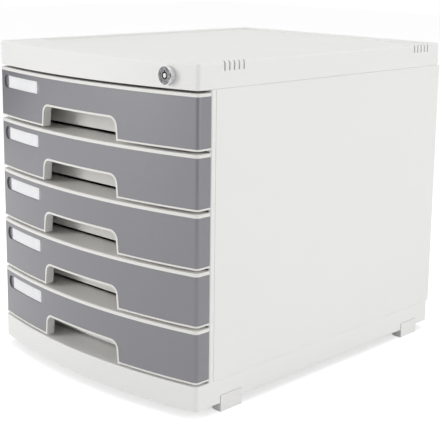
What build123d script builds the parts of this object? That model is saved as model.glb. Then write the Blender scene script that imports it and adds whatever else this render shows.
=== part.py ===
from build123d import *
import math
import os

# A lockable desktop cabinet with five equal drawers, moulded in plastic.
# Millimetres. +X is to the right as seen from the front, -Y is the front and +Z is up.
# The origin is under the middle of the cabinet, on the surface that it stands on.

# ---- driving sizes: the housing ----
overall_width = 300.0  # over the side panels
panel_depth = 358.4  # front edge of a side panel to the rear face
nose_reach = 16.4  # from the panels' front edges forward to the corners of the bow
bow_rise = 17.6  # how far the middle of the bowed front stands in front of its corners
corner_radius = 4.5  # upright corners at the two ends of the bow
rear_radius = 5.0  # upright corners at the back of the base and the cover
least_radius = 0.6  # of the same corners inside a thick wall
foot_height = 9.0  # from the desk to the lower edge of the base
base_height = 24.2
cover_height = 24.8

# ---- driving sizes: the stack of drawers ----
drawer_count = 5
head_height = 51.8  # a drawer's front, from the top of its rim to the bottom
head_gap = 2.74  # between one drawer's front and the next
end_gap = 2.3  # between the stack and the cover above or the base below
drawer_travel = 240.0

# ---- mouldings of the housing ----
shell_wall = 2.5  # walls of the cover and the base
panel_wall = 3.0
cover_edge_radius = 2.5  # round the top of the cover
seam_radius = 0.8  # the small round on edges that meet at a seam
recess_depth = 2.5  # shallow tray in the top of the cover
recess_rim = 7.0  # width of the raised rim beside and behind it
recess_setback = 26.4  # from the panels' front edges back to the recess
recess_radius = 6.0
rib_thickness = 2.0
rib_depth = 6.0  # stiffening ribs under the cover's ceiling and under the base's deck
rib_count = 5

# ---- vents in both sides of the cover ----
vent_count = 5
vent_width = 1.7
vent_pitch = 6.2
vent_height = 8.8
vent_front_setback = 16.0  # from the panels' front edges to the first slot
vent_rear_setback = 24.5  # from the rear face to the last slot

# ---- side panels ----
bead_setback = 5.3  # fine upright groove behind the panel's front edge
bead_groove_width = 0.6
bead_groove_depth = 0.4
panel_edge_radius = 1.5
flange_width = 11.0  # inward flanges that are screwed to the cover and the base
flange_thickness = 2.5
flange_setback = 14.0  # from the panel's front edge, so that the lock bar passes in front
runner_thickness = 2.5
runner_width = 11.0  # ribs that carry the drawers' flanges
runner_clearance = 2.0  # between the ribs and the walls of the trays
runner_catch_gap = 0.6  # from the back of the drawers' catches to the front of the ribs
runner_overrun = 2.0  # ribs past the rear end of a closed tray
guard_thickness = 2.0  # ribs that keep an open drawer from tipping
stop_length = 6.5
stiffener_depth = 4.0
stiffener_count = 2
groove_lip = 2.0  # ribs on both sides of the back panel's edge
groove_depth = 4.0
back_setback = 3.0  # from the rear face to the back panel
back_thickness = 2.5
back_clearance = 0.15

# ---- screws of the housing ----
screw_count = 3  # along each flange
screw_end_distance = 26.0
shank_radius = 1.75
screw_head_radius = 3.5
screw_head_height = 2.4
screw_head_round = 0.9
screw_length = 11.0
screw_tip_gap = 0.4  # below a screw's point in its boss
thread_clearance = 0.05
screw_hole_clearance = 0.35
drive_radius = 1.6
drive_width = 0.9
drive_depth = 1.3
boss_wall = 2.4
boss_tip = 1.6  # plastic left below a screw's point

# ---- feet ----
foot_length = 28.2
foot_width = 14.8
foot_proud = 0.8  # how far the foot's side plate stands out of the base
foot_plate_thickness = 1.6
foot_plate_height = 7.8
foot_front_setback = 15.2
foot_rear_setback = 24.5
foot_inner_radius = 7.0
foot_edge_radius = 1.2
foot_fit = 0.2
peg_radius = 3.0
peg_height = 6.0
peg_clearance = 0.2
shelf_thickness = 2.5

# ---- drawer heads ----
top_rim = 3.2  # white rim above the grey face plate
bottom_rim = 2.0
rim_edge_radius = 1.3
face_thickness = 2.6
face_setback = 0.35  # from the rim's front back to the face plate
face_clearance = 0.1
web_thickness = 2.0  # white wall behind the face plate
rim_depth = 9.0  # front to back, round the finger notch and along the bottom
deck_thickness = 2.4
head_clearance = 0.6  # between the heads and the side panels' front edges
notch_half_width = 58.5  # at the bottom of the head, over the notch's white rim
notch_half_top = 56.3
notch_height = 23.0
notch_radius = 10.0
notch_rim = 2.0

# ---- trays ----
tray_wall = 2.2
tray_length = 338.0
wall_overlap = 0.5  # how far the tray's front wall is set into the head
tray_lift = 0.3  # underside of the tray above the bottom of its head
tray_drop = 9.0  # rim of the tray below the top of its head
tray_rear_radius = 10.0
tray_floor_radius = 4.0
slide_width = 5.5  # side flanges that run on the panels' ribs
slide_thickness = 2.2
slide_gap = 0.3
tab_height = 3.0  # stops that stand on the rear ends of the side flanges
tab_length = 5.0
tab_setback = 6.0
tab_clearance = 0.6
stop_clearance = 0.4

# ---- label holders ----
label_end_distance = 9.0  # from the side of the cabinet to the end of the slot
label_drop = 14.6  # from the top of the rim to the middle of the label
label_slot_length = 78.0
label_slot_height = 13.6
label_slot_depth = 1.2
finger_hollow_length = 10.0
finger_hollow_depth = 0.6
card_length = 62.0
card_height = 12.4
card_thickness = 0.3
window_thickness = 0.6
window_clearance = 0.2
window_lip_length = 3.0
window_lip_height = 0.25

# ---- lock ----
lock_side_distance = 32.0  # from the right side of the cabinet to the lock's axis
lock_rise = 11.9  # lock axis above the lower edge of the cover
collar_radius = 8.5
collar_front_radius = 7.9
collar_reach = 4.6  # the collar's face in front of the bow, at the lock's axis
collar_chamfer = 0.6
barrel_radius = 6.5
barrel_clearance = 0.1
lock_pad_radius = 10.5
lock_pad_depth = 6.0
lock_seat_depth = 0.4
nut_across_flats = 17.0
nut_thickness = 3.5
nut_clearance = 0.05
plug_radius = 5.2
plug_clearance = 0.05
plug_recess = 0.3
keyway_outer_radius = 3.5
keyway_inner_radius = 2.1
keyway_depth = 5.0
key_notch_width = 1.1
key_notch_length = 1.0
key_notch_inset = 0.3
cam_thickness = 2.0
cam_peg_reach = 5.0
cam_peg_radius = 1.5
cam_peg_end = 0.8  # peg past the lock bar
cam_nose_radius = 3.0
cam_hub_radius = 5.6
cam_gap = 0.3
cam_screw_radius = 1.5
cam_screw_length = 8.0
cam_screw_head_radius = 2.7
cam_screw_head_height = 1.4
cam_screw_drive_depth = 0.7
cam_bar_gap = 0.6  # between the cam's screw and the lock bar that passes behind it

# ---- lock bar ----
bar_thickness = 2.0
bar_width = 4.0
bar_panel_gap = 1.2
bar_setback = 2.4  # from the panel's front edge to the bar's front
bar_foot_gap = 0.5  # between the bar's foot and the base while the drawers are locked
arm_height = 7.6
arm_end = 3.5  # arm past the peg's slot
peg_slot_clearance = 0.4
tooth_height = 5.0
tooth_thickness = 2.0  # plates fastened to the back of the bar
tooth_gap_to_tray = 3.0
tooth_rest_gap = 0.4  # above the catches while the drawers are free
catch_gap = 1.0  # from a tooth back to the catch that it holds when lowered
catch_length = 3.0
catch_height = 8.0
clip_height = 8.0
clip_rise = 12.0  # middle of a clip above the foot of a drawer's head
clip_wall = 1.2
clip_clearance = 0.3
clip_lip = 0.6
clip_floor = 0.3
clip_count = 3

# ---- sizes that follow from them ----
overall_depth = panel_depth + nose_reach + bow_rise
front_y = -overall_depth / 2
rear_y = overall_depth / 2
corner_y = front_y + bow_rise
panel_y = corner_y + nose_reach
half_width = overall_width / 2
bow_radius = (half_width**2 + bow_rise**2) / (2 * bow_rise)
bow_centre_y = front_y + bow_radius

base_z = foot_height
deck_z = base_z + base_height
head_pitch = head_height + head_gap
stack_height = drawer_count * head_height + (drawer_count - 1) * head_gap + 2 * end_gap
cover_z = deck_z + stack_height
top_z = cover_z + cover_height
ceiling_z = top_z - recess_depth - shell_wall

panel_inner_x = half_width - panel_wall
flange_inner_x = panel_inner_x - flange_width
screw_x = panel_inner_x - flange_width / 2
back_y = rear_y - back_setback - back_thickness

head_back_y = panel_y - head_clearance
wall_y = head_back_y - wall_overlap
tray_rear_y = wall_y + tray_length
tray_half_width = panel_inner_x - runner_width - runner_clearance
slide_x = tray_half_width + slide_width
seat_inset = face_setback + face_thickness + face_clearance
web_inset = seat_inset + web_thickness

bar_y = panel_y + bar_setback
bar_outer_x = panel_inner_x - bar_panel_gap
bar_inner_x = bar_outer_x - bar_width
catch_y = bar_y + bar_thickness + tooth_thickness + catch_gap
runner_y = catch_y + catch_length + runner_catch_gap
stop_y = tray_rear_y - tab_setback - tab_length - drawer_travel - slide_gap - stop_length

label_x = -half_width + label_end_distance + label_slot_length / 2

lock_x = half_width - lock_side_distance
lock_z = cover_z + lock_rise
peg_drop = cam_peg_reach * math.sin(math.radians(45))
bar_stroke = 2 * peg_drop


def head_top(number):
    """Height of the top of a drawer's rim; drawer 1 is the highest."""
    return cover_z - end_gap - (number - 1) * head_pitch


def bow_y(x, inset=0.0):
    """Y of the bowed front at x, or of a surface that lies behind it by inset."""
    return bow_centre_y - math.sqrt((bow_radius - inset) ** 2 - x**2)


def block(x0, x1, y0, y1, z0, z1):
    """A box between two corners."""
    centre = Pos((x0 + x1) / 2, (y0 + y1) / 2, (z0 + z1) / 2)
    return centre * Box(abs(x1 - x0), abs(y1 - y0), abs(z1 - z0))


def rod(radius, x, y0, y1, z):
    """A cylinder along Y."""
    return Pos(x, (y0 + y1) / 2, z) * Rot(90, 0, 0) * Cylinder(radius, abs(y1 - y0))


def post(radius, x, y, z0, z1):
    """A cylinder along Z."""
    return Pos(x, y, (z0 + z1) / 2) * Cylinder(radius, abs(z1 - z0))


def bow_plan(inset, back, back_radius=0.0):
    """Plan outline behind the bowed front: the bow, two rounded corners, two sides and a straight back."""
    half = half_width - inset
    left = (-half, bow_y(half, inset))
    right = (half, bow_y(half, inset))
    outline = ThreePointArc(left, (0, bow_y(0, inset)), right)
    outline += Polyline(right, (half, back), (-half, back), left)
    plan = make_face(outline)
    plan = fillet(plan.vertices().sort_by(Axis.Y)[:2], max(corner_radius - inset, least_radius))
    if back_radius > 0:
        plan = fillet(plan.vertices().sort_by(Axis.Y)[-2:], back_radius)
    return plan


def bow_solid(inset, back, z0, z1, back_radius=0.0):
    """The plan outline raised between two heights."""
    return extrude(Pos(0, 0, z0) * bow_plan(inset, back, back_radius), z1 - z0)


def bow_band(outer, inner, back, z0, z1):
    """A wall that follows the bow and both sides, open at the back."""
    return bow_solid(outer, back, z0, z1) - bow_solid(inner, back + 1, z0 - 1, z1 + 1)


def through_y(profile, z):
    """An upright profile, drawn in X and Z, carried from before the front to behind the drawers' heads."""
    plane = Plane(origin=(0, front_y - 1, z), x_dir=(1, 0, 0), z_dir=(0, -1, 0))
    return extrude(plane * profile, front_y - 1 - (head_back_y + 1))


def notch_profile(inset):
    """The finger notch: sides that lean in a little and two large round corners at its top."""
    low = -4.0
    lean = (notch_half_width - notch_half_top) / notch_height
    points = [
        (-(notch_half_width - inset - lean * low), low),
        (-(notch_half_top - inset), notch_height - inset),
        (notch_half_top - inset, notch_height - inset),
        (notch_half_width - inset - lean * low, low),
    ]
    outline = make_face(Polyline(*points, points[0]))
    return fillet(outline.vertices().sort_by(Axis.Y)[-2:], notch_radius - inset)


def make_tray(number):
    """A drawer's white moulding: bowed head, deck, notch and the tray behind them."""
    top = head_top(number)
    bottom = top - head_height
    outer = bow_solid(0, head_back_y, bottom, top)
    front_edges = outer.edges().filter_by(lambda e: e.center().Y < head_back_y - 0.1)
    upper = front_edges.filter_by(lambda e: e.center().Z > top - 0.01)
    outer = fillet(upper, rim_edge_radius)
    front_edges = outer.edges().filter_by(lambda e: e.center().Y < head_back_y - 0.1)
    lower = front_edges.filter_by(lambda e: e.center().Z < bottom + 0.01)
    outer = fillet(lower, seam_radius)
    seat = bow_band(-1, seat_inset, head_back_y + 1, bottom + bottom_rim, top - top_rim)
    head = outer - seat
    head -= bow_solid(web_inset, head_back_y + 1, bottom + bottom_rim, top - deck_thickness)
    head -= bow_solid(rim_depth, head_back_y + 1, bottom - 1, bottom + bottom_rim)
    opening = through_y(notch_profile(notch_rim), bottom)
    rim = through_y(notch_profile(0), bottom) & bow_band(0, rim_depth, head_back_y, bottom, top)
    head = head + rim - opening

    tray_bottom = bottom + tray_lift
    tray_top = top - tray_drop
    centre_y = (wall_y + tray_rear_y) / 2
    outline = Pos(0, centre_y, tray_bottom) * Rectangle(2 * tray_half_width, tray_length)
    outline = fillet(outline.vertices().sort_by(Axis.Y)[-2:], tray_rear_radius)
    shell = extrude(outline, tray_top - tray_bottom)
    low_edges = shell.edges().filter_by(lambda e: e.center().Z < tray_bottom + 0.01)
    shell = fillet(low_edges.filter_by(lambda e: e.center().Y > wall_y + 0.1), tray_floor_radius)
    inside = Pos(0, centre_y, tray_bottom + tray_wall) * Rectangle(
        2 * (tray_half_width - tray_wall), tray_length - 2 * tray_wall
    )
    inside = fillet(inside.vertices().sort_by(Axis.Y)[-2:], tray_rear_radius - tray_wall)
    hollow = extrude(inside, head_height)
    low_edges = hollow.edges().filter_by(lambda e: e.center().Z < tray_bottom + tray_wall + 0.01)
    hollow = fillet(low_edges, tray_floor_radius - tray_wall)
    shell -= hollow

    body = head + shell
    body += block(-slide_x, slide_x, wall_y, wall_y + tray_wall, tray_bottom, top)
    body += block(-slide_x, slide_x, head_back_y - 1, wall_y + tray_wall, top - deck_thickness, top)
    slide_rear_y = tray_rear_y - tray_rear_radius
    tab_y = tray_rear_y - tab_setback - tab_length
    slide_low = tray_top - slide_thickness
    for side in (-1, 1):
        end_x = side * (half_width - web_inset + web_thickness / 2)
        end_y = head_back_y - tray_wall
        body += block(side * (slide_x - 1), end_x, end_y, head_back_y, bottom, top - deck_thickness / 2)
        wall_x = side * (tray_half_width - tray_wall)
        edge_x = side * slide_x
        body += block(wall_x, edge_x, wall_y, slide_rear_y + tab_length, slide_low, tray_top)
        body += block(wall_x, edge_x, tab_y, tab_y + tab_length, tray_top, tray_top + tab_height)
    return body


def make_catch(number):
    """The block on the right side flange that a lowered tooth of the lock bar stands in front of."""
    rim = head_top(number) - tray_drop
    inner_x = tray_half_width - tray_wall
    catch = block(inner_x, slide_x, catch_y, catch_y + catch_length, rim, rim + catch_height)
    upper = catch.edges().filter_by(Axis.X).filter_by(lambda e: e.center().Z > rim + catch_height - 0.1)
    return chamfer(upper, catch_length / 4)


def make_face_plate(number):
    """The grey plate in a drawer's head, wrapped round both corners, with the label's slot."""
    top = head_top(number)
    bottom = top - head_height
    low = bottom + bottom_rim + face_clearance
    high = top - top_rim - face_clearance
    plate = bow_band(face_setback, seat_inset - face_clearance, head_back_y, low, high)
    plate -= through_y(notch_profile(-face_clearance), bottom)
    middle_z = top - label_drop
    slot = through_y(Pos(label_x, 0) * SlotOverall(label_slot_length, label_slot_height), middle_z)
    plate -= slot & bow_band(-1, face_setback + label_slot_depth, head_back_y, low, high)
    hollow_right = label_x - label_slot_length / 2 + finger_hollow_length
    hollow = slot & block(-half_width, hollow_right, front_y - 1, 0, low, high)
    hollow_floor = face_setback + label_slot_depth + finger_hollow_depth
    plate -= hollow & bow_band(-1, hollow_floor, head_back_y, low, high)
    return plate


def label_left():
    """Left edge of the card and of the window over it."""
    return label_x - label_slot_length / 2 + finger_hollow_length


def make_label(number):
    """The paper card, bent to the bow, on the floor of the slot."""
    z = head_top(number) - label_drop
    floor = face_setback + label_slot_depth
    left = label_left()
    card = block(left, left + card_length, front_y - 1, 0, z - card_height / 2, z + card_height / 2)
    return card & bow_band(floor - card_thickness, floor, 0, z - label_slot_height, z + label_slot_height)


def make_window(number):
    """The clear strip over the card, with a round right end and a low lip to push it by."""
    z = head_top(number) - label_drop
    length = label_slot_length - 2 * window_clearance
    height = label_slot_height - 2 * window_clearance
    back = face_setback + label_slot_depth - card_thickness
    outline = through_y(Pos(label_x, 0) * SlotOverall(length, height), z)
    outline &= block(label_left(), half_width, front_y - 1, 0, z - height, z + height)
    strip = outline & bow_band(back - window_thickness, back, 0, z - height, z + height)
    lip_x = label_x + label_slot_length / 2 - label_slot_height / 2
    lip = outline & block(lip_x, lip_x + window_lip_length, front_y - 1, 0, z - height, z + height)
    front = back - window_thickness - window_lip_height
    return strip + (lip & bow_band(front, back, 0, z - height, z + height))


def screw_places():
    """Y of the screws along each flange."""
    first = panel_y + flange_setback + screw_end_distance
    last = back_y - screw_end_distance
    step = (last - first) / (screw_count - 1)
    return [first + i * step for i in range(screw_count)]


def rib_places():
    """Y of the ribs across the cover and the base, set between the screws."""
    first = panel_y + flange_setback + 2 * screw_end_distance
    last = back_y - 2 * screw_end_distance
    step = (last - first) / (rib_count - 1)
    return [first + i * step for i in range(rib_count)]


def make_cover():
    """The lid: a bowed shell, open below, with a shallow recess on top, vents and the lock's seat."""
    cover = bow_solid(0, rear_y, cover_z, top_z, rear_radius)
    cover = fillet(cover.edges().filter_by(lambda e: e.center().Z > top_z - 0.01), cover_edge_radius)
    cover = fillet(cover.edges().filter_by(lambda e: e.center().Z < cover_z + 0.01), seam_radius)
    cover -= bow_solid(shell_wall, rear_y - shell_wall, cover_z - 1, ceiling_z, rear_radius - shell_wall)
    recess_y = panel_y + recess_setback
    cover -= bow_solid(shell_wall, recess_y - shell_wall, ceiling_z - 1, top_z - shell_wall)
    recess_back = rear_y - recess_rim
    recess = Pos(0, (recess_y + recess_back) / 2, top_z - recess_depth) * RectangleRounded(
        overall_width - 2 * recess_rim, recess_back - recess_y, recess_radius
    )
    cover -= extrude(recess, recess_depth + 1)
    rim = cover.edges().filter_by(lambda e: abs(e.center().Z - top_z) < 0.01)
    rim = rim.filter_by(lambda e: abs(e.center().X) < half_width - recess_rim + 0.1)
    rim = rim.filter_by(lambda e: recess_y - 0.1 < e.center().Y < recess_back + 0.1)
    cover = fillet(rim, seam_radius)
    inner = half_width - shell_wall
    half_rib = rib_thickness / 2
    for y in rib_places():
        cover += block(-inner, inner, y - half_rib, y + half_rib, ceiling_z - rib_depth, ceiling_z)
    boss_radius = shank_radius + boss_wall
    for side in (-1, 1):
        for y in screw_places():
            cover += post(boss_radius, side * screw_x, y, cover_z, ceiling_z)
            tip = cover_z + screw_length
            cover -= post(shank_radius + thread_clearance, side * screw_x, y, cover_z - 1, tip)
        for i in range(vent_count):
            front_slot = panel_y + vent_front_setback + i * vent_pitch
            rear_slot = rear_y - vent_rear_setback - i * vent_pitch
            for y in (front_slot, rear_slot):
                outer_x = side * (half_width + 1)
                inner_x = side * (half_width - shell_wall - 1)
                half = vent_width / 2
                cover -= block(outer_x, inner_x, y - half, y + half, top_z - vent_height, top_z + 1)
    seat_y = lock_seat_y()
    cover += rod(lock_pad_radius, lock_x, seat_y - 1, seat_y + lock_pad_depth, lock_z) & bow_solid(
        shell_wall / 2, rear_y, cover_z, top_z
    )
    cover -= rod(collar_radius + barrel_clearance, lock_x, front_y - 1, seat_y, lock_z)
    cover -= rod(barrel_radius + barrel_clearance, lock_x, front_y - 1, seat_y + lock_pad_depth + 1, lock_z)
    return cover


def lock_seat_y():
    """The flat seat of the lock's collar, just behind the bow where the collar's right side meets it."""
    return bow_y(lock_x + collar_radius) + lock_seat_depth


def make_base():
    """The plinth: a bowed shell with a closed deck, open below, with a shelf in each corner for a foot."""
    base = bow_solid(0, rear_y, base_z, deck_z, rear_radius)
    base = fillet(base.edges().filter_by(lambda e: e.center().Z > deck_z - 0.01), seam_radius)
    base = fillet(base.edges().filter_by(lambda e: e.center().Z < base_z + 0.01), seam_radius)
    under = deck_z - shell_wall
    base -= bow_solid(shell_wall, rear_y - shell_wall, base_z - 1, under, rear_radius - shell_wall)
    inner = half_width - shell_wall
    half_rib = rib_thickness / 2
    for y in rib_places():
        base += block(-inner, inner, y - half_rib, y + half_rib, under - rib_depth, under)
    boss_radius = shank_radius + boss_wall
    boss_z = deck_z - screw_length - boss_tip
    for side in (-1, 1):
        for y in screw_places():
            base += post(boss_radius, side * screw_x, y, boss_z, under)
            hole_radius = shank_radius + thread_clearance
            base -= post(hole_radius, side * screw_x, y, deck_z - screw_length, deck_z + 1)
        for y in foot_places():
            outer_x = side * (half_width - shell_wall / 2)
            inner_x = side * (half_width - foot_width - foot_fit)
            reach = foot_length / 2 + shell_wall
            base += block(outer_x, inner_x, y - reach, y + reach, base_z, base_z + shelf_thickness)
            peg_hole = peg_radius + peg_clearance
            base -= post(peg_hole, side * peg_x(), y, base_z - 1, base_z + shelf_thickness + 1)
            pocket_x = side * (half_width + foot_proud - foot_plate_thickness)
            half = foot_length / 2 + foot_fit
            pocket_z = base_z + foot_plate_height + foot_fit
            base -= block(pocket_x, side * (half_width + 1), y - half, y + half, base_z - 1, pocket_z)
    return base


def foot_places():
    """Y of the middles of the front and rear feet."""
    return (
        panel_y + foot_front_setback + foot_length / 2,
        rear_y - foot_rear_setback - foot_length / 2,
    )


def peg_x():
    """X of the peg on each foot."""
    return half_width - foot_width / 2 - shell_wall / 2


def make_foot(side, y):
    """A foot: a rounded block below the base, a peg into its shelf and a plate up the side wall."""
    outer = half_width + foot_proud
    inner = half_width - foot_width
    pad = Pos((outer + inner) / 2, 0, 0) * Rectangle(outer - inner, foot_length)
    pad = fillet(pad.vertices().sort_by(Axis.X)[:2], foot_inner_radius)
    foot = extrude(pad, foot_height)
    foot = fillet(foot.edges().filter_by(lambda e: e.center().Z < 0.01), foot_edge_radius)
    half = foot_length / 2
    plate_top = foot_height + foot_plate_height
    foot += block(outer - foot_plate_thickness, outer, -half, half, foot_height - 1, plate_top)
    foot += post(peg_radius, peg_x(), 0, foot_height - 1, foot_height + peg_height)
    if side < 0:
        foot = mirror(foot, about=Plane.YZ)
    return Pos(0, y, 0) * foot


def make_panel(side):
    """A side wall with its flanges, runners, tip guards and stops, drawn on the right and mirrored."""
    panel = block(panel_inner_x, half_width, panel_y, rear_y, deck_z, cover_z)
    front_edge = panel.edges().filter_by(Axis.Z)
    front_edge = front_edge.filter_by(lambda e: e.center().Y < panel_y + 0.1)
    front_edge = front_edge.filter_by(lambda e: e.center().X > half_width - 0.1)
    panel = fillet(front_edge, panel_edge_radius)
    bead_y = panel_y + bead_setback
    bead_x = half_width - bead_groove_depth
    panel -= block(bead_x, half_width + 1, bead_y, bead_y + bead_groove_width, deck_z - 1, cover_z + 1)
    flange_y = panel_y + flange_setback
    for low, high in ((deck_z, deck_z + flange_thickness), (cover_z - flange_thickness, cover_z)):
        panel += block(flange_inner_x, panel_inner_x + 1, flange_y, back_y - groove_lip, low, high)
        for y in screw_places():
            panel -= post(shank_radius + screw_hole_clearance, screw_x, y, low - 1, high + 1)
    runner_x = panel_inner_x - runner_width
    root_x = panel_inner_x + panel_wall / 2
    runner_rear = tray_rear_y + runner_overrun
    for number in range(1, drawer_count + 1):
        slide_top = head_top(number) - tray_drop
        runner_top = slide_top - slide_thickness - slide_gap
        runner_low = runner_top - runner_thickness
        panel += block(runner_x, root_x, runner_y, runner_rear, runner_low, runner_top)
        guard_low = slide_top + tab_height + tab_clearance
        guard_top = guard_low + guard_thickness
        panel += block(runner_x, root_x, runner_y, runner_rear, guard_low, guard_top)
        stop_low = slide_top + stop_clearance
        panel += block(runner_x, root_x, stop_y, stop_y + stop_length, stop_low, guard_top)
    stiffener_x = panel_inner_x - stiffener_depth
    half_rib = rib_thickness / 2
    step = (back_y - flange_y) / (stiffener_count + 1)
    for i in range(stiffener_count):
        y = flange_y + (i + 1) * step
        panel += block(stiffener_x, root_x, y - half_rib, y + half_rib, deck_z, cover_z)
    lip_x = panel_inner_x - groove_depth
    for y in (back_y - back_clearance - groove_lip, back_y + back_thickness + back_clearance):
        panel += block(lip_x, panel_inner_x + 1, y, y + groove_lip, deck_z, cover_z)
    if side > 0:
        for z in clip_places():
            panel += make_clip(z)
    else:
        panel = mirror(panel, about=Plane.YZ)
    return panel


def clip_places():
    """Heights of the clips that guide the lock bar, each behind the lower half of a drawer's head."""
    step = (drawer_count - 1) / clip_count
    places = []
    for i in range(clip_count):
        number = 1 + round(i * step)
        places.append(head_top(number) - head_height + clip_rise)
    return places


def make_clip(z):
    """A clip on the right side panel, open inwards, that the lock bar snaps into."""
    opening_low = bar_y - clip_clearance
    opening_high = bar_y + bar_thickness + clip_clearance
    inner_x = bar_inner_x - clip_clearance
    root_x = panel_inner_x + panel_wall / 2
    low = z - clip_height / 2
    high = z + clip_height / 2
    clip = block(inner_x - clip_wall, root_x, opening_low - clip_wall, opening_high + clip_wall, low, high)
    clip -= block(inner_x, panel_inner_x - clip_floor, opening_low, opening_high, low - 1, high + 1)
    mouth_low = opening_low + clip_lip
    mouth_high = opening_high - clip_lip
    clip -= block(inner_x - 2 * clip_wall, inner_x + 1, mouth_low, mouth_high, low - 1, high + 1)
    return clip


def make_back():
    """The plain back sheet, held by its edges in the side panels' grooves."""
    edge = panel_inner_x - slide_gap
    low = deck_z + slide_gap
    high = cover_z - slide_gap
    return block(-edge, edge, back_y, back_y + back_thickness, low, high)


def make_screw(x, y, seat_z, up):
    """A pan-head tapping screw whose head bears on seat_z; up is 1 where its point is above its head."""
    tip = flange_thickness + screw_length - screw_tip_gap
    shank = post(shank_radius, 0, 0, -screw_head_height / 4, tip)
    head = post(screw_head_radius, 0, 0, -screw_head_height, 0)
    end = head.edges().filter_by(lambda e: e.center().Z < -screw_head_height + 0.01)
    head = fillet(end, screw_head_round)
    screw = shank + head
    for angle in (0, 90):
        cross = Rot(0, 0, angle) * Box(2 * drive_radius, drive_width, 2 * drive_depth)
        screw -= Pos(0, 0, -screw_head_height) * cross
    if up < 0:
        screw = Rot(180, 0, 0) * screw
    return Pos(x, y, seat_z) * screw


def make_screws(seat_z, up):
    """All screws of one side, top or bottom, as separate solids."""
    screws = [make_screw(side * screw_x, y, seat_z, up) for side in (-1, 1) for y in screw_places()]
    return Compound(children=screws)


def make_barrel():
    """The lock's metal body: a collar outside the cover and a round body through it."""
    seat = lock_seat_y()
    face = bow_y(lock_x) - collar_reach
    rear = plug_rear_y() - cam_gap
    barrel = rod(collar_radius, lock_x, face + collar_chamfer, seat, lock_z)
    nose = Pos(lock_x, face + collar_chamfer / 2, lock_z) * Rot(90, 0, 0)
    barrel += nose * Cone(collar_radius, collar_front_radius, collar_chamfer)
    barrel += rod(barrel_radius, lock_x, seat - 1, rear, lock_z)
    barrel -= rod(plug_radius + plug_clearance, lock_x, face - 1, rear + 1, lock_z)
    return barrel


def make_nut():
    """The nut behind the cover's front wall."""
    low = lock_seat_y() + lock_pad_depth
    hexagon = RegularPolygon(nut_across_flats / 2, 6, major_radius=False)
    nut = Pos(lock_x, low + nut_thickness, lock_z) * Rot(90, 0, 0) * extrude(hexagon, nut_thickness)
    return nut - rod(barrel_radius + nut_clearance, lock_x, low - 1, low + nut_thickness + 1, lock_z)


def plug_rear_y():
    """Rear end of the plug, where the cam sits."""
    return bar_y - cam_bar_gap - cam_screw_head_height - cam_thickness


def make_plug():
    """The round plug with a tubular keyway, drawn with the keyway's notch at the top."""
    face = bow_y(lock_x) - collar_reach + plug_recess
    plug = rod(plug_radius, lock_x, face, plug_rear_y(), lock_z)
    ring = rod(keyway_outer_radius, lock_x, face - 1, face + keyway_depth, lock_z)
    ring -= rod(keyway_inner_radius, lock_x, face - 2, face + keyway_depth + 1, lock_z)
    notch_top = lock_z + keyway_outer_radius + key_notch_length
    notch_low = lock_z + keyway_inner_radius + key_notch_inset
    half = key_notch_width / 2
    ring += block(lock_x - half, lock_x + half, face - 1, face + keyway_depth / 2, notch_low, notch_top)
    plug -= ring
    rear = plug_rear_y()
    plug -= rod(cam_screw_radius + thread_clearance, lock_x, rear - cam_screw_length, rear + 1, lock_z)
    return plug


def make_cam():
    """The lever on the plug, whose peg stands up and to the right while the drawers are free."""
    low = plug_rear_y()
    high = low + cam_thickness
    arm_x = lock_x + peg_drop
    arm_z = lock_z + peg_drop
    hub = rod(cam_hub_radius, lock_x, low, high, lock_z)
    nose = rod(cam_nose_radius, arm_x, low, high, arm_z)
    middle = Pos((lock_x + arm_x) / 2, (low + high) / 2, (lock_z + arm_z) / 2)
    web = middle * Rot(0, -45, 0) * Box(cam_peg_reach, cam_thickness, 2 * cam_nose_radius)
    peg = rod(cam_peg_radius, arm_x, low + cam_thickness / 2, bar_y + bar_thickness + cam_peg_end, arm_z)
    cam = hub + nose + web + peg
    return cam - rod(cam_screw_radius + thread_clearance, lock_x, low - 1, high + 1, lock_z)


def make_cam_screw():
    """The screw that holds the cam on the plug."""
    seat = plug_rear_y() + cam_thickness
    screw = rod(cam_screw_radius, lock_x, seat - cam_screw_length, seat + cam_screw_head_height / 2, lock_z)
    head = rod(cam_screw_head_radius, lock_x, seat, seat + cam_screw_head_height, lock_z)
    screw += head
    for angle in (0, 90):
        cross = Rot(0, angle, 0) * Box(2 * drive_radius, 2 * cam_screw_drive_depth, drive_width)
        screw -= Pos(lock_x, seat + cam_screw_head_height, lock_z) * cross
    return screw


def make_bar():
    """The lock bar, raised: an upright strip with an arm to the cam's peg."""
    back = bar_y + bar_thickness
    slot_z = lock_z + peg_drop
    arm_top = slot_z + arm_height / 2
    bar = block(bar_inner_x, bar_outer_x, bar_y, back, deck_z + bar_foot_gap + bar_stroke, arm_top)
    half = cam_peg_radius + peg_slot_clearance
    slot_left = lock_x + peg_drop - half
    slot_right = lock_x + cam_peg_reach + half
    bar += block(slot_left - arm_end, bar_outer_x, bar_y, back, arm_top - arm_height, arm_top)
    slot_place = Pos((slot_left + slot_right) / 2, bar_y - 1, slot_z) * Rot(-90, 0, 0)
    slot = slot_place * SlotOverall(slot_right - slot_left, 2 * half)
    return bar - extrude(slot, bar_thickness + 2)


def make_teeth():
    """Plates on the back of the lock bar, one just above each drawer's catch, as separate solids."""
    tooth_x = tray_half_width + tooth_gap_to_tray
    front = bar_y + bar_thickness
    teeth = []
    for number in range(1, drawer_count + 1):
        low = head_top(number) - tray_drop + catch_height + tooth_rest_gap
        teeth.append(block(tooth_x, bar_outer_x, front, front + tooth_thickness, low, low + tooth_height))
    return Compound(children=teeth)


def save(name, shape):
    """Writes one piece to its own file."""
    shape.label = name
    export_step(shape, f"parts/{name}.step")


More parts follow.
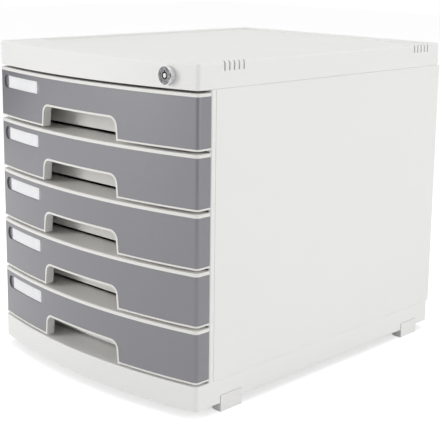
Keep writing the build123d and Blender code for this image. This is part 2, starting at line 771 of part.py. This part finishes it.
def main():
    os.makedirs("parts", exist_ok=True)
    save("top_cover", make_cover())
    save("base", make_base())
    save("side_panel_left", make_panel(-1))
    save("side_panel_right", make_panel(1))
    save("back_panel", make_back())
    for place, y in zip(("front", "rear"), foot_places()):
        for name, side in (("left", -1), ("right", 1)):
            save(f"foot_{place}_{name}", make_foot(side, y))
    save("cover_screws", make_screws(cover_z - flange_thickness, 1))
    save("base_screws", make_screws(deck_z + flange_thickness, -1))
    save("lock_barrel", make_barrel())
    save("lock_nut", make_nut())
    save("lock_plug", make_plug())
    save("lock_cam", make_cam())
    save("cam_screw", make_cam_screw())
    save("lock_bar", make_bar())
    save("lock_bar_teeth", make_teeth())
    for number in range(1, drawer_count + 1):
        save(f"drawer_{number}_tray", make_tray(number))
        save(f"drawer_{number}_catch", make_catch(number))
        save(f"drawer_{number}_face", make_face_plate(number))
        save(f"drawer_{number}_label", make_label(number))
        save(f"drawer_{number}_window", make_window(number))


main()
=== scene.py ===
import bmesh
import bpy
import math
from mathutils import Matrix, Vector


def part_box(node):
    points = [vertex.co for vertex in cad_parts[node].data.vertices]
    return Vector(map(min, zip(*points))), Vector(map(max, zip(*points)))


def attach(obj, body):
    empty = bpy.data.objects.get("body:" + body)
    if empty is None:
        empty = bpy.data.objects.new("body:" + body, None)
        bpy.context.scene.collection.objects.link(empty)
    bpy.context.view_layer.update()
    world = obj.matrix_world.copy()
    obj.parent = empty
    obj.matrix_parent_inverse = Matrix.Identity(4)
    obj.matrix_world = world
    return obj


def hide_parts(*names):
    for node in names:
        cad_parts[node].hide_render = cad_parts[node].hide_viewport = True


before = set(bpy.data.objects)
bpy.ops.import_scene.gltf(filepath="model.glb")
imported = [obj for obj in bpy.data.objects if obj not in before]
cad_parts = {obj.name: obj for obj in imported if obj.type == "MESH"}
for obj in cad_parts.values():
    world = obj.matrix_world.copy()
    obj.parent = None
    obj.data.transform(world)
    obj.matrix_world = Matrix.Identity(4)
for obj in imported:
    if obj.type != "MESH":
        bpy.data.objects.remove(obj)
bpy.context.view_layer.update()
stage = bpy.context.scene


# ---- The view ----
# The photograph looks down a little from the front right, with a long lens from about a metre
# away. Its frame cuts the picture off-centre, so the lens is shifted by that much.
lens = bpy.data.cameras.new("view")
lens.sensor_fit = "HORIZONTAL"
lens.sensor_width = 36.0
lens.lens = 89.25
lens.shift_x = -0.0877
lens.shift_y = -0.1371
lens.clip_start = 0.02
lens.clip_end = 30.0
camera_place = (0.82967, -0.83856, 0.42763)
camera_heading = math.radians(42.613)
camera_tilt = math.radians(79.257)
camera_roll = math.radians(1.053)
camera = bpy.data.objects.new("camera", lens)
camera.matrix_world = (
    Matrix.Translation(camera_place)
    @ Matrix.Rotation(camera_heading, 4, "Z")
    @ Matrix.Rotation(camera_tilt, 4, "X")
    @ Matrix.Rotation(camera_roll, 4, "Z")
)
stage.collection.objects.link(camera)
stage.camera = camera


# ---- Base ----
# The plinth that everything stands on: an open-bottomed white moulding with a bowed front.
# Its mould was spark-eroded to a fine grain, so it scatters light softly and hides scuffs.
class Wire:
    """The output of a node. Sums of wires and numbers add the Math nodes that work them out."""

    def __init__(self, socket):
        self.socket = socket
        self.tree = socket.id_data

    def node(self, kind, settings=None, inputs=None, output=0):
        """Adds a node beside this one: its settings first, then its sockets; gives one output."""
        new = self.tree.nodes.new("ShaderNode" + kind)
        for name, value in (settings or {}).items():
            if name == "stops":
                ramp = new.color_ramp.elements
                while len(ramp) < len(value):
                    ramp.new(1.0)
                for stop, (place, level) in zip(ramp, value):
                    stop.position = place
                    stop.color = (level, level, level, 1.0)
            else:
                setattr(new, name, value)
        for name, value in (inputs or {}).items():
            socket = next(s for s in new.inputs if s.identifier == name)
            if isinstance(value, Wire):
                self.tree.links.new(value.socket, socket)
            else:
                socket.default_value = value
        return Wire(new.outputs[output]) if new.outputs else None

    def sum_with(self, operation, first, second):
        return self.node("Math", {"operation": operation}, {"Value": first, "Value_001": second})

    def __add__(self, other):
        return self.sum_with("ADD", self, other)

    __radd__ = __add__

    def __sub__(self, other):
        return self.sum_with("SUBTRACT", self, other)

    def __rsub__(self, other):
        return self.sum_with("SUBTRACT", other, self)

    def __mul__(self, other):
        return self.sum_with("MULTIPLY", self, other)

    __rmul__ = __mul__

    def __pow__(self, other):
        return self.sum_with("POWER", self, other)


def new_material(name):
    """An empty material and the wire that carries its Object coordinates."""
    material = bpy.data.materials.new(name)
    material.use_nodes = True
    material.node_tree.nodes.clear()
    coordinates = material.node_tree.nodes.new("ShaderNodeTexCoord")
    return material, Wire(coordinates.outputs["Object"])


def noise(place, scale, detail=2.0, roughness=0.5):
    """Three-dimensional noise, from 0 to 1, whose largest lumps are about 1 / scale metres."""
    inputs = {"Vector": place, "Scale": scale, "Detail": detail, "Roughness": roughness}
    return place.node("TexNoise", {}, inputs)


def tint(factor, first, second):
    """A colour between two others."""
    inputs = {"Factor_Float": factor, "A_Color": (*first, 1.0), "B_Color": (*second, 1.0)}
    return factor.node("Mix", {"data_type": "RGBA"}, inputs, output=2)


def bumped(height, strength, distance):
    """A normal from a height."""
    return height.node("Bump", {}, {"Strength": strength, "Distance": distance, "Height": height})


def surface(place, **inputs):
    """Closes a material with one Principled shader, whose sockets are named with underscores."""
    sockets = {name.replace("_", " "): value for name, value in inputs.items()}
    shader = place.node("BsdfPrincipled", {}, sockets)
    shader.node("OutputMaterial", {}, {"Surface": shader})


cloud_scale = 9.0
sink_scale = 35.0
sink_share = 2.0
cloud_gloss = 0.08
grain_gloss = 0.1
rub_scale = 26.0
plastic_ior = 1.46


def moulded_plastic(
    name, colour, shade, roughness, grain=1500.0, relief=0.00002, rubbed=0.0, **more
):
    """Grained plastic: colour between two close shades, cloudy gloss and a fine relief over
    shallow sink marks. What faces up is smoother by rubbed, in patches."""
    material, place = new_material(name)
    cloud = noise(place, cloud_scale, 3.0)
    fine = noise(place, grain, 3.0, 0.6)
    sinks = noise(place, sink_scale, 1.0)
    gloss = roughness + cloud_gloss * (cloud - 0.5) + grain_gloss * (fine - 0.5)
    if rubbed:
        facing = place.node("NewGeometry", output=1)
        upward = place.node("SeparateXYZ", {}, {"Vector": facing}, output=2)
        worn = upward.node("ValToRGB", {"stops": [(0.9, 0.0), (1.0, 1.0)]}, {"Fac": upward})
        gloss = gloss - rubbed * (worn * noise(place, rub_scale, 4.0, 0.65))
    surface(
        place,
        Base_Color=tint(cloud, colour, shade),
        Roughness=gloss,
        Normal=bumped(fine + sinks * sink_share, 0.35, relief),
        IOR=plastic_ior,
        **more,
    )
    return material


def dress(material, *names):
    """Gives CAD nodes that keep their own mesh a finished material."""
    for name in names:
        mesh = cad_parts[name].data
        mesh.materials.clear()
        mesh.materials.append(material)


housing_colours = (0.86, 0.857, 0.842), (0.84, 0.838, 0.822)
housing_white = moulded_plastic("housing_white", *housing_colours, 0.46)
dress(housing_white, "base")


# ---- Feet ----
# Four white feet, each with a peg that snaps into a shelf of the base and a plate up its side.
# They are a softer plastic than the housing, a little glossier, with a finer grain.
foot_white = moulded_plastic(
    "foot_white", (0.84, 0.836, 0.82), (0.8, 0.796, 0.78), roughness=0.4, grain=2200.0)
for end in ("front", "rear"):
    dress(foot_white, f"foot_{end}_left", f"foot_{end}_right")


# ---- Side panels and back ----
# Two white side walls, ribbed inside, whose flanges are screwed down to the base, and a plain
# sheet that slides into their grooves at the rear. The sheet is rolled, so it is smoother.
dress(housing_white, "side_panel_left", "side_panel_right")
sheet_white = moulded_plastic(
    "sheet_white", (0.83, 0.827, 0.812), (0.81, 0.808, 0.792), roughness=0.36, grain=700.0)
dress(sheet_white, "back_panel")


# ---- Screws of the base and the cover ----
# Six zinc-plated pan-head tapping screws hold the side panels' lower flanges to the base and
# six more the upper flanges to the cover. Each has a coarse thread and a cross recess.
screw_head_radius = 0.0035
screw_head_height = 0.0024
screw_root_radius = 0.0013
screw_crest_radius = 0.00175
screw_length = 0.0129
screw_pitch = 0.0014
dome_share = 0.72
slot_length_share = 0.92
slot_width_share = 0.24
slot_depth_share = 1.1
tip_share = 0.35
ridge_end_share = 0.45
ridge_length_share = 0.93


def brushed_metal(name, colour, shade, roughness, grain=2600.0):
    """Plated steel: faint spangle in its colour, fine lines in its gloss."""
    material, place = new_material(name)
    spangle = noise(place, 420.0, 2.0)
    stretch = place.node("Mapping", {}, {"Vector": place, "Scale": (1.0, 1.0, 0.06)})
    lines = noise(stretch, grain, 2.0, 0.6)
    surface(
        place,
        Base_Color=tint(spangle, colour, shade),
        Metallic=1.0,
        Roughness=roughness + 0.12 * (lines - 0.5) + 0.06 * (spangle - 0.5),
        Normal=bumped(lines, 0.2, 0.00001),
    )
    return material


screw_zinc = brushed_metal("screw_zinc", (0.62, 0.62, 0.63), (0.5, 0.51, 0.53), 0.34)


class Tree:
    """A Geometry Nodes tree that is built a node at a time."""

    def __init__(self, name, sizes):
        self.group = bpy.data.node_groups.new(name, "GeometryNodeTree")
        sockets = self.group.interface
        sockets.new_socket("Geometry", in_out="INPUT", socket_type="NodeSocketGeometry")
        self.sizes = {}
        for size, value in sizes.items():
            kind = "NodeSocketInt" if isinstance(value, int) else "NodeSocketFloat"
            socket = sockets.new_socket(size, in_out="INPUT", socket_type=kind)
            socket.default_value = value
            self.sizes[size] = socket.identifier
        sockets.new_socket("Geometry", in_out="OUTPUT", socket_type="NodeSocketGeometry")
        self.given = self.group.nodes.new("NodeGroupInput")
        self.made = self.group.nodes.new("NodeGroupOutput")

    def size(self, name):
        return self.given.outputs[name]

    def add(self, kind, settings=None, inputs=None, output=0):
        """Adds a node, sets it up and fills its sockets, found by identifier; gives one output."""
        new = self.group.nodes.new(kind)
        for name, value in (settings or {}).items():
            setattr(new, name, value)
        for name, value in (inputs or {}).items():
            socket = next(s for s in new.inputs if s.identifier == name)
            for one in value if isinstance(value, list) else [value]:
                if isinstance(one, bpy.types.NodeSocket):
                    self.group.links.new(one, socket)
                else:
                    socket.default_value = one
        return new.outputs[output]

    def sum(self, operation, first, second):
        inputs = {"Value": first, "Value_001": second}
        return self.add("ShaderNodeMath", {"operation": operation}, inputs)

    def point(self, x=0.0, y=0.0, z=0.0):
        return self.add("ShaderNodeCombineXYZ", {}, {"X": x, "Y": y, "Z": z})

    def close(self, geometry, material):
        """Real geometry with its material, as the tree's result."""
        real = self.add("GeometryNodeRealizeInstances", {}, {"Geometry": geometry})
        dressed = self.add("GeometryNodeSetMaterial", {}, {"Geometry": real, "Material": material})
        self.group.links.new(dressed, self.made.inputs[0])


def grow(name, points, tree, values):
    """Runs a tree on a set of points and keeps its result as a plain mesh at the origin."""
    seed = bpy.data.meshes.new(name + "_points")
    seed.from_pydata([tuple(p) for p in points], [], [])
    carrier = bpy.data.objects.new(name + "_carrier", seed)
    stage.collection.objects.link(carrier)
    modifier = carrier.modifiers.new("grow", "NODES")
    modifier.node_group = tree.group
    for size, value in values.items():
        modifier[tree.sizes[size]] = value
    bpy.context.view_layer.update()
    grown = carrier.evaluated_get(bpy.context.evaluated_depsgraph_get())
    shape = bpy.data.meshes.new_from_object(grown)
    carrier.modifiers.remove(modifier)
    bpy.data.objects.remove(carrier)
    shape.name = name
    piece = bpy.data.objects.new(name, shape)
    stage.collection.objects.link(piece)
    return piece


screw_tree = Tree("tapping_screw", {
    "Head radius": screw_head_radius,
    "Head height": screw_head_height,
    "Root radius": screw_root_radius,
    "Crest radius": screw_crest_radius,
    "Length": screw_length,
    "Pitch": screw_pitch,
    "Point up": 1.0,
})
add = screw_tree.add
head_radius = screw_tree.size("Head radius")
head_height = screw_tree.size("Head height")
root_radius = screw_tree.size("Root radius")
crest_radius = screw_tree.size("Crest radius")
length = screw_tree.size("Length")
half_height = screw_tree.sum("MULTIPLY", head_height, 0.5)
# head: a low drum with a domed cap, hollowed by a cross
drum = add("GeometryNodeMeshCylinder", {}, {
    "Vertices": 40, "Radius": head_radius, "Depth": half_height})
drum = add("GeometryNodeTransform", {}, {
    "Geometry": drum,
    "Translation": screw_tree.point(z=screw_tree.sum("MULTIPLY", head_height, -0.25))})
head_top = screw_tree.point(z=screw_tree.sum("MULTIPLY", head_height, -1.0))
dome = add("GeometryNodeMeshCone", {}, {
    "Vertices": 40, "Side Segments": 1, "Radius Top": head_radius,
    "Radius Bottom": screw_tree.sum("MULTIPLY", head_radius, dome_share),
    "Depth": half_height})
dome = add("GeometryNodeTransform", {}, {"Geometry": dome, "Translation": head_top})
head = add("GeometryNodeMeshBoolean", {"operation": "UNION"}, {"Mesh 2": [drum, dome]})
slot_size = screw_tree.point(
    screw_tree.sum("MULTIPLY", head_radius, slot_length_share),
    screw_tree.sum("MULTIPLY", head_radius, slot_width_share),
    screw_tree.sum("MULTIPLY", head_height, slot_depth_share))
slot = add("GeometryNodeMeshCube", {}, {"Size": slot_size})
slot = add("GeometryNodeTransform", {}, {"Geometry": slot, "Translation": head_top})
cross = add("GeometryNodeTransform", {}, {"Geometry": slot, "Rotation": (0.0, 0.0, math.pi / 2)})
head = add("GeometryNodeMeshBoolean", {"operation": "DIFFERENCE"}, {
    "Mesh 1": head, "Mesh 2": [slot, cross]})
# shank: a plain root with one helical ridge wound round it
root = add("GeometryNodeMeshCone", {}, {
    "Vertices": 24, "Side Segments": 1,
    "Radius Top": screw_tree.sum("MULTIPLY", root_radius, tip_share),
    "Radius Bottom": root_radius, "Depth": length})
ridge_line = add("GeometryNodeCurveSpiral", {}, {
    "Resolution": 28, "Rotations": screw_tree.sum("DIVIDE", length, screw_tree.size("Pitch")),
    "Start Radius": root_radius,
    "End Radius": screw_tree.sum("MULTIPLY", root_radius, ridge_end_share),
    "Height": screw_tree.sum("MULTIPLY", length, ridge_length_share)})
ridge_profile = add("GeometryNodeCurvePrimitiveCircle", {"mode": "RADIUS"}, {
    "Resolution": 3, "Radius": screw_tree.sum("SUBTRACT", crest_radius, root_radius)})
ridge = add("GeometryNodeCurveToMesh", {}, {
    "Curve": ridge_line, "Profile Curve": ridge_profile, "Fill Caps": True})
one_screw = add("GeometryNodeJoinGeometry", {}, {"Geometry": [head, root, ridge]})
half_turns = screw_tree.sum("SUBTRACT", 1.0, screw_tree.size("Point up"))
turn = screw_tree.point(x=screw_tree.sum("MULTIPLY", half_turns, math.pi / 2))
placed = add("GeometryNodeInstanceOnPoints", {}, {
    "Points": screw_tree.given.outputs["Geometry"], "Instance": one_screw, "Rotation": turn})
screw_tree.close(placed, screw_zinc)

for name, point_up in (("base_screws", -1.0), ("cover_screws", 1.0)):
    low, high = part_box(name)
    seat = low.z + screw_head_height if point_up > 0 else high.z - screw_head_height
    first = low.y + screw_head_radius
    step = (high.y - low.y - 2 * screw_head_radius) / 2
    reach = high.x - screw_head_radius
    places = [(side * reach, first + i * step, seat) for side in (-1, 1) for i in range(3)]
    screws = grow(
        name.replace("screws", "tapping_screws"), places, screw_tree, {"Point up": point_up})
    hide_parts(name)
    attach(screws, "cabinet")


# ---- Top cover ----
# The lid: the same grained white moulding as the base, with a shallow tray on top whose floor
# is worn a little smoother by what has lain on it, and slots for air in both sides.
cover_white = moulded_plastic("cover_white", *housing_colours, 0.46, rubbed=0.1)
dress(cover_white, "top_cover")


# ---- Lock ----
# A small round lock through the front of the cover, clamped from inside by a nut. The collar
# and nut are plated zinc. The plug that the key turns is duller, with a tubular keyway.
plated_zinc = brushed_metal("plated_zinc", (0.74, 0.74, 0.75), (0.66, 0.665, 0.68), 0.24, 900.0)
dress(plated_zinc, "lock_nut")
plug_low, plug_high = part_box("lock_plug")
barrel_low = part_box("lock_barrel")[0]
axis_x = (plug_low.x + plug_high.x) / 2
axis_z = (plug_low.z + plug_high.z) / 2


def from_lock_axis(place):
    """Distance from the lock's axis, in centimetres."""
    centred = place.node("Mapping", {}, {"Vector": place, "Location": (-axis_x, 0.0, -axis_z)})
    across = place.node("SeparateXYZ", {}, {"Vector": centred})
    up_the_face = place.node("SeparateXYZ", {}, {"Vector": centred}, output=2)
    return (across * across + up_the_face * up_the_face) ** 0.5 * 100.0


def inside(radius, edge):
    """1 up to an edge, then 0."""
    stops = [(0.0, 1.0), (edge, 1.0), (edge + 0.02, 0.0), (1.0, 0.0)]
    return radius.node("ValToRGB", {"stops": stops}, {"Fac": radius})


def either(factor, first, second):
    """One of two colours that vary themselves, or are alike all over."""
    inputs = {"Factor_Float": factor, "A_Color": first, "B_Color": second}
    return factor.node("Mix", {"data_type": "RGBA"}, inputs, output=2)


# The collar's front is coloured dark and made rougher between its bright turned rim and the plug.
dull_edge = 0.79
front_depth = 0.0004
mottle_scale = 480.0
collar_metal, place = new_material("collar_metal")
back = place.node("SeparateXYZ", {}, {"Vector": place}, output=1)
front = back.node("Math", {"operation": "LESS_THAN"}, {
    "Value": back, "Value_001": barrel_low.y + front_depth})
dull = inside(from_lock_axis(place), dull_edge) * front
mottle = noise(place, mottle_scale, 4.0, 0.65)
mottle = mottle.node("ValToRGB", {"stops": [(0.36, 0.0), (0.64, 1.0)]}, {"Fac": mottle})
bright_metal = tint(mottle, (0.78, 0.78, 0.785), (0.7, 0.7, 0.71))
# the dark colour of the collar's front, inside its rim and around the plug
dark_front_metal = tint(mottle, (0.24, 0.24, 0.25), (0.07, 0.07, 0.075))
surface(
    place,
    Base_Color=either(dull, bright_metal, dark_front_metal),
    Metallic=1.0,
    Roughness=0.25 + 0.2 * dull + 0.1 * (mottle - 0.5),
    Normal=bumped(mottle * dull, 0.4, 0.00003),
)
dress(collar_metal, "lock_barrel")

# The plug is turned, which leaves fine rings on its front. Its centre post is coloured lighter
# than the plug's front, a painted highlight.
post_edge = 0.2
ring_scale = 520.0
# painted highlight: the centre post gets a lighter colour than the rest of the plug's front
painted_highlight_post = (0.42, 0.42, 0.425, 1.0)
plug_metal, place = new_material("plug_metal")
radius = from_lock_axis(place)
rings = place.node("Math", {"operation": "SINE"}, {"Value": radius * ring_scale})
smudge = noise(place, 900.0, 3.0)
plug_front = tint(smudge, (0.22, 0.22, 0.23), (0.1, 0.1, 0.105))
surface(
    place,
    Base_Color=either(inside(radius, post_edge), plug_front, painted_highlight_post),
    Metallic=1.0,
    Roughness=0.4 + 0.05 * rings + 0.1 * (smudge - 0.5),
    Normal=bumped(rings, 0.15, 0.000004),
)
dress(plug_metal, "lock_plug")

# Seven sprung pins stand in the floor of the plug's round keyway, where the key meets them.
pin_count = 7
pin_radius = 0.00055
pin_circle = 0.0028
pin_depth = 0.0021
pin_length = 0.003
pin_ring_turn = 0.2
pin_tree = Tree("keyway_pins", {
    "Pins": pin_count,
    "Pin radius": pin_radius,
    "Circle radius": pin_circle,
    "Pin length": pin_length,
})
add = pin_tree.add
pin = add("GeometryNodeMeshCylinder", {}, {
    "Vertices": 16, "Radius": pin_tree.size("Pin radius"), "Depth": pin_tree.size("Pin length")})
pin_tip = add("GeometryNodeMeshUVSphere", {}, {
    "Segments": 16, "Rings": 8, "Radius": pin_tree.size("Pin radius")})
pin_tip = add("GeometryNodeTransform", {}, {
    "Geometry": pin_tip,
    "Translation": pin_tree.point(z=pin_tree.sum("MULTIPLY", pin_tree.size("Pin length"), 0.5))})
pin = add("GeometryNodeJoinGeometry", {}, {"Geometry": [pin, pin_tip]})
ring = add("GeometryNodeMeshCircle", {"fill_type": "NONE"}, {
    "Vertices": pin_tree.size("Pins"), "Radius": pin_tree.size("Circle radius")})
pins = add("GeometryNodeInstanceOnPoints", {}, {"Points": ring, "Instance": pin})
pins = add("GeometryNodeTransform", {}, {
    "Geometry": pins, "Rotation": (math.pi / 2, pin_ring_turn, 0.0)})
pins = add("GeometryNodeInstanceOnPoints", {}, {
    "Points": pin_tree.given.outputs["Geometry"], "Instance": pins})
pin_brass = brushed_metal("pin_brass", (0.55, 0.42, 0.2), (0.45, 0.34, 0.16), 0.3, 2000.0)
pin_tree.close(pins, pin_brass)
pin_place = (axis_x, plug_low.y + pin_depth + pin_length / 2, axis_z)
keyway_pins = grow("keyway_pins", [pin_place], pin_tree, {})
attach(keyway_pins, "lock_core")


# ---- Cam and lock bar ----
# Behind the plug a pressed steel cam, held by a screw, carries the peg that moves the lock
# bar: a zinc-plated strip down the right side, with five plates fastened to its back.
bar_zinc = brushed_metal("bar_zinc", (0.66, 0.67, 0.68), (0.55, 0.56, 0.58), 0.36, 1800.0)
dress(bar_zinc, "lock_cam", "lock_bar", "lock_bar_teeth")
dress(screw_zinc, "cam_screw")


# ---- Drawers ----
# Each drawer is one white moulding, a bowed head with a finger notch and a tray behind it.
# It is smoother and a little warmer than the housing. The catch on its side is the same.
drawer_white = moulded_plastic(
    "drawer_white", (0.83, 0.82, 0.79), (0.81, 0.8, 0.77), roughness=0.4, grain=1900.0)

# A satin grey plate is clipped into the head and wraps both its corners.
face_grey = moulded_plastic(
    "face_grey", (0.215, 0.213, 0.232), (0.2, 0.198, 0.217), roughness=0.3, grain=1300.0,
    Specular_IOR_Level=0.9)

# The label is a plain paper card. Its fibres show only from close by.
label_paper, place = new_material("label_paper")
along = place.node("Mapping", {}, {"Vector": place, "Scale": (1.0, 1.0, 3.0)})
fibres = noise(along, 1400.0, 4.0, 0.7)
speck = noise(place, 300.0, 2.0)
surface(
    place,
    Base_Color=tint(speck, (0.93, 0.93, 0.94), (0.9, 0.9, 0.91)),
    Roughness=0.85 + 0.1 * (fibres - 0.5),
    Normal=bumped(fibres, 0.3, 0.00001),
)

# A thin clear strip snaps over the card.
clear_strip, place = new_material("clear_strip")
haze = noise(place, 160.0, 3.0)
surface(
    place,
    Base_Color=(0.94, 0.95, 0.96, 1.0),
    Roughness=0.1 + 0.08 * haze,
    Alpha=0.1 + 0.04 * haze,
    IOR=1.49,
)
for number in range(1, 6):
    dress(drawer_white, f"drawer_{number}_tray", f"drawer_{number}_catch")
    dress(face_grey, f"drawer_{number}_face")
    dress(clear_strip, f"drawer_{number}_window")

# Each card is a little lower than the room for it, and lies against the floor of its slot,
# clear of the strip.
card_play = 0.0001
card_trim = 0.01
merge_distance = 0.000001
for number in range(1, 6):
    low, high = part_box(f"drawer_{number}_label")
    merged = bmesh.new()
    merged.from_mesh(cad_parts[f"drawer_{number}_label"].data)
    bmesh.ops.remove_doubles(merged, verts=merged.verts, dist=merge_distance)
    card = bpy.data.meshes.new(f"label_card_{number}")
    merged.to_mesh(card)
    merged.free()
    card.set_sharp_from_angle(angle=math.radians(30))
    middle = (low.z + high.z) / 2
    for corner in card.vertices:
        corner.co.y += card_play
        corner.co.z += (middle - corner.co.z) * card_trim
    piece = bpy.data.objects.new(card.name, card)
    stage.collection.objects.link(piece)
    card.materials.append(label_paper)
    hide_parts(f"drawer_{number}_label")
    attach(piece, f"drawer_{number}")


# ---- Studio ----
# A pale floor, a white surround and three broad lamps. Camera, gloss and clear plastic see the
# surround as white, and it lights the object at a lower strength. The floor is lifted to white
# for camera and gloss alone, and keeps the shadow that the cabinet throws on it.
floor_reach = 6.0
floor_lift = 0.56
surround_light = 0.46
floor_mesh = bpy.data.meshes.new("floor")
floor_corners = [
    (x * floor_reach, y * floor_reach, 0.0) for x, y in ((-1, -1), (1, -1), (1, 1), (-1, 1))]
floor_mesh.from_pydata(floor_corners, [], [(0, 1, 2, 3)])
floor = bpy.data.objects.new("floor", floor_mesh)
stage.collection.objects.link(floor)
floor_pale, place = new_material("floor_pale")
matt = place.node("BsdfPrincipled", {}, {"Base Color": (0.8, 0.8, 0.8, 1.0), "Roughness": 0.95})
light_path = place.node("LightPath").socket.node.outputs
seen = place.node("Math", {"operation": "MAXIMUM"}, {
    "Value": Wire(light_path["Is Camera Ray"]), "Value_001": Wire(light_path["Is Glossy Ray"])})
lift = place.node("Emission", {}, {"Color": (1.0, 1.0, 1.0, 1.0), "Strength": floor_lift * seen})
both = place.node("AddShader", {}, {"Shader": matt, "Shader_001": lift})
both.node("OutputMaterial", {}, {"Surface": both})
floor_mesh.materials.append(floor_pale)

world = bpy.data.worlds.new("surround")
stage.world = world
world.use_nodes = True
world.node_tree.nodes.clear()
light_path = world.node_tree.nodes.new("ShaderNodeLightPath").outputs
seen = Wire(light_path["Is Camera Ray"])
for ray in ("Is Glossy Ray", "Is Transmission Ray"):
    seen = seen.node("Math", {"operation": "MAXIMUM"}, {
        "Value": seen, "Value_001": Wire(light_path[ray])})
backdrop = seen.node("Background", {}, {
    "Color": (1.0, 1.0, 1.0, 1.0), "Strength": surround_light + (1.0 - surround_light) * seen})
backdrop.node("OutputWorld", {}, {"Surface": backdrop})


def lamp(name, place, towards, size, watts):
    """A broad square lamp."""
    light = bpy.data.lights.new(name, "AREA")
    light.size = size
    light.energy = watts
    body = bpy.data.objects.new(name, light)
    body.location = place
    body.rotation_euler = (Vector(towards) - Vector(place)).to_track_quat("-Z", "Y").to_euler()
    stage.collection.objects.link(body)


lamp("front_left_lamp", (-1.15, -2.1, 0.8), (0.0, -0.15, 0.15), 1.1, 23.5)
lamp("right_lamp", (2.3, 0.45, 0.8), (0.1, 0.0, 0.15), 1.6, 19.5)
lamp("top_lamp", (0.2, 0.3, 2.4), (0.0, 0.0, 0.2), 1.8, 14.0)

# Two dark cards, seen in gloss alone, stand beside the camera and far to the left. They draw the
# soft lines on the drawers' round corners and darken the left of the upper faces.
card_black, place = new_material("card_black")
black = place.node("BsdfDiffuse", {}, {"Color": (0.02, 0.02, 0.02, 1.0)})
black.node("OutputMaterial", {}, {"Surface": black})
for name, start, end, card_height in (
    ("camera_card", (0.5, -0.98), (0.92, -0.56), 0.62),
    ("left_card", (-1.6, -0.75), (-1.6, 0.75), 0.5),
):
    card_mesh = bpy.data.meshes.new(name)
    low_edge = [(*start, 0.0), (*end, 0.0)]
    high_edge = [(*end, card_height), (*start, card_height)]
    card_mesh.from_pydata(low_edge + high_edge, [], [(0, 1, 2, 3)])
    card_mesh.materials.append(card_black)
    card = bpy.data.objects.new(name, card_mesh)
    stage.collection.objects.link(card)
    for ray in ("camera", "diffuse", "transmission", "shadow"):
        setattr(card, "visible_" + ray, False)

stage.view_settings.view_transform = "Standard"
